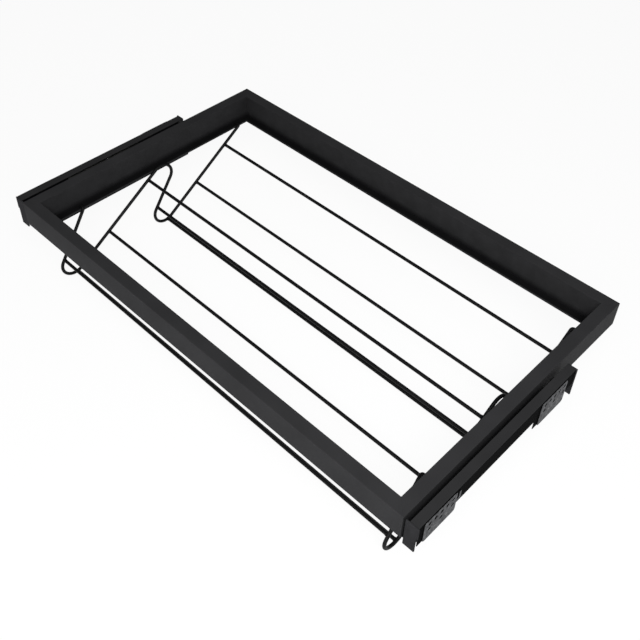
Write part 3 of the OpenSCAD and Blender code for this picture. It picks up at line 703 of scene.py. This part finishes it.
def moulded(name):
    """Etched moulded plastic: a close matte grain with slow flow marks."""
    plastic = Finish(name)
    etched, flow = plastic.noise(2600, 2), plastic.noise(45, 3, 0.5, (1, 1, 0.35))
    tone = plastic.blend(plastic.ramp(flow, 0.3, 0.7), (0.0135, 0.0135, 0.0143), (0.021, 0.021, 0.0226))
    gloss = flow * 0.1 + etched * 0.08 + 0.45
    return plastic.surface(tone, gloss, etched, 0.00003, Specular_IOR_Level=0.3, IOR=1.07)


cap_plastic = moulded("cap_plastic")
for side in ("left", "right"):
    for end, (body, edge) in CAPS.items():
        cap = softened(f"{side}_{end}_cap", f"{side}_{end}_end_cap", cap_plastic, edge)
        fit(cap, f"{side}_{end}_cap", body)


# Wall brackets. Punched 1.2 mm galvanised plates, two on each side, with five holes in the upper
# row and three in the lower one for screws into the side panel, and under them the seats of two
# flush rivets. The front one ends in a hook.

BRACKETS = {"front": (-0.209, 0.056, 0.036), "rear": (0.009, 0.055, 0.041)}
BRACKET_X = (0.3808, 0.3820)
BRACKET_TOP = 0.1445
BRACKET_CORNER = 0.004
BURR = 0.0003
HOLE_SHADE_PLANE = 0.38168
HOLE_RADIUS = 0.0026
HOLE_PITCH = 0.01
FIRST_HOLE = 0.0094
UPPER_ROW = 0.008
LOWER_ROW = 0.0185
RIVET_ROW = 0.0241
RIVET_SEAT = 0.00253
HOOK = [(0, -0.0195), (0.0075, -0.0195), (0.0075, -0.0045), (0.004, -0.0045), (0.004, -0.016), (0, -0.016)]
HOOK_RADII = [0.0008, 0.0018, 0.0008, 0.0008, 0.0012, 0.0008]


def flat_plate(name, rings, low, high, edge, x_side, finish):
    """A plate in the plane of Y and Z, between two places along X. Its rings are filled as one flat
    shape, holes and all, and its edges are rounded by a quarter circle of the edge's radius."""
    curve = bpy.data.curves.new(name, "CURVE")
    curve.dimensions, curve.fill_mode, curve.offset = "2D", "BOTH", -edge
    curve.extrude, curve.bevel_depth, curve.bevel_resolution = (high - low) / 2 - edge, edge, 2
    for ring in rings:
        spline = curve.splines.new("POLY")
        spline.points.add(len(ring) - 1)
        spline.points.foreach_set("co", np.column_stack([ring, 0 * ring[:, 0], 0 * ring[:, 0] + 1]).ravel())
        spline.use_cyclic_u = True
    drawn = bpy.data.objects.new(name, curve)
    bpy.context.collection.objects.link(drawn)
    mesh = bpy.data.meshes.new_from_object(drawn.evaluated_get(bpy.context.evaluated_depsgraph_get()))
    bpy.data.objects.remove(drawn)
    flat = np.empty(3 * len(mesh.vertices), np.float32)
    mesh.vertices.foreach_get("co", flat)
    along, up, thick = flat.reshape(-1, 3).T
    placed = np.column_stack([x_side * (thick + (low + high) / 2), along, up])
    mesh.vertices.foreach_set("co", placed.astype(np.float32).ravel())
    work = bmesh.new()
    work.from_mesh(mesh)
    bmesh.ops.remove_doubles(work, verts=work.verts, dist=WELD_DISTANCE)
    bmesh.ops.recalc_face_normals(work, faces=work.faces)
    work.to_mesh(mesh)
    work.free()
    return even_normals(shown(name, mesh, finish, 50))


def spangled_zinc(name):
    """Galvanised strip: frosted crystals a few millimetres wide, each with its own grey, under a
    stain. The hole walls, edges and back face, inward of the outer face, are painted shade: near black."""
    zinc = Finish(name)
    cell = {"Vector": zinc.place(), "Scale": 330.0, "Randomness": 1.0}
    cell_colour = zinc.node("TexVoronoi", {}, cell, out="Color")
    crystal = zinc.node("SeparateColor", {}, {"Color": cell_colour}, out="Red")
    frost, stain = zinc.noise(2200, 2), zinc.noise(70, 4, 0.6)
    tone = zinc.ramp(crystal * 0.5 + frost * 0.15 + stain * 0.35, 0.25, 0.75)
    # painted shade: near black in the holes, on the edges and on the back face
    face = zinc.ramp((abs(zinc.axis("X")) - HOLE_SHADE_PLANE) * 5000, 0.2, 0.9)
    skin = zinc.blend(tone, (0.022, 0.0225, 0.0235), (0.15, 0.153, 0.158))
    return zinc.surface(
        zinc.blend(face, (0.003, 0.003, 0.003), skin), crystal * 0.2 + stain * 0.1 + 0.34,
        crystal * 0.4 + frost * 0.6, 0.00002, Metallic=0.9, Specular_Tint=(0.6, 0.6, 0.61, 1),
    )


def hole(count, row, radius, steps=28):
    """Points centre + radius (cos a, sin a) round a full turn: the centre lies so many pitches from
    the first hole, at the row's distance under the plate's top."""
    angle = np.linspace(0, 2 * np.pi, steps, endpoint=False)
    return [FIRST_HOLE + HOLE_PITCH * count, -row] + radius * np.stack([np.cos(angle), np.sin(angle)], -1)


zinc_sheet = spangled_zinc("spangled_zinc")
for side, x_side in (("left", -1), ("right", 1)):
    for end, (front, length, height) in BRACKETS.items():
        hook = [(length + a, b) for a, b in HOOK] if end == "front" else []
        corners = [(0, 0), (0, -height), (length, -height), *hook, (length, 0)]
        radii = [BRACKET_CORNER] * 3 + HOOK_RADII[:len(hook)] + [BRACKET_CORNER]
        rings = [rounded_outline(corners, radii, 6)]
        rings += [hole(count, UPPER_ROW, HOLE_RADIUS) for count in (0, 1, 2, 3, 4)]
        rings += [hole(count, LOWER_ROW, HOLE_RADIUS) for count in (0, 2, 4)]
        rings += [hole(count, RIVET_ROW, RIVET_SEAT) for count in (1, 3)]
        rings = [ring + [front, BRACKET_TOP] for ring in rings]
        plate = flat_plate(f"{side}_{end}_wall_plate", rings, *BRACKET_X, BURR, x_side, zinc_sheet)
        fit(plate, f"{side}_{end}_bracket", "fixed_sides")


# Rivets. Two steel rivets through each bracket, cover and cabinet rail, set flush on the side
# panel's side.

RIVET_EDGE = 0.00015

rivet_steel = dark_plating("rivet_zinc")
for side in ("left", "right"):
    rivets = softened(f"{side}_rivets", f"{side}_flush_rivets", rivet_steel, RIVET_EDGE)
    fit(rivets, f"{side}_rivets", "fixed_sides")


# Studio. A pale floor under the lowest wires, a surround that is white to the camera and lights the
# object softly, three soft lamps, and the camera at the photograph's angle.

FLOOR_LEVEL = -0.0006
FLOOR_REACH = 9
FLOOR_GLOW = 0.92
SURROUND_LIGHT = 0.3
WHITE = (1, 1, 1, 1)

paper = Finish("pale_floor")
seen = paper.node("LightPath", out="Is Camera Ray")
for ray in ("Is Glossy Ray", "Is Transmission Ray"):
    seen = seen.at_least(paper.node("LightPath", out=ray))
matte = paper.node("BsdfDiffuse", {}, {"Color": (0.8, 0.8, 0.8, 1)})
glow = paper.node("Emission", {}, {"Color": WHITE, "Strength": 1.0})
paper.close(paper.node("MixShader", {}, {0: seen * FLOOR_GLOW, 1: matte, 2: glow}))
floor_points = np.array([[x, y, 0] for x, y in ((-1, -1), (1, -1), (1, 1), (-1, 1))]) * FLOOR_REACH
add_piece("floor", floor_points + [0, 0, FLOOR_LEVEL], [[0, 1, 2, 3]], paper.block)

surround = Finish("surround", "worlds")
level = surround.node("LightPath", out="Is Camera Ray") * (1 - SURROUND_LIGHT) + SURROUND_LIGHT
surround.close(surround.node("Background", {}, {"Color": WHITE, "Strength": level}), "World")
bpy.context.scene.world = surround.block


def add_lamp(name, place, aim, size, power):
    """A square soft lamp that faces a point."""
    data = bpy.data.lights.new(name, "AREA")
    data.shape, data.size, data.energy = "SQUARE", size, power
    lamp = bpy.data.objects.new(name, data)
    bpy.context.collection.objects.link(lamp)
    lamp.location = place
    lamp.rotation_euler = (Vector(place) - Vector(aim)).to_track_quat("Z", "Y").to_euler()


add_lamp("front_lamp", (0.3, -2.2, 0.2), (0, 0, 0.12), 0.36, 19.5)
add_lamp("top_lamp", (0.8, -0.75, 1.25), (0, 0, 0.1), 0.8, 31)
add_lamp("right_lamp", (2.3, 0.5, 0.25), (0, 0, 0.12), 0.4, 8)

camera = bpy.data.objects.new("camera", bpy.data.cameras.new("camera"))
bpy.context.collection.objects.link(camera)
bpy.context.scene.camera = camera
camera.location = (0.62580, -0.64212, 0.97076)
camera.rotation_euler = np.radians([47.4477, -1.1748, 44.0929])
camera.data.lens = 49.626
camera.data.sensor_width = 36
camera.data.shift_y = -0.109375
camera.data.clip_start = 0.05
bpy.context.scene.view_settings.view_transform = "Standard"
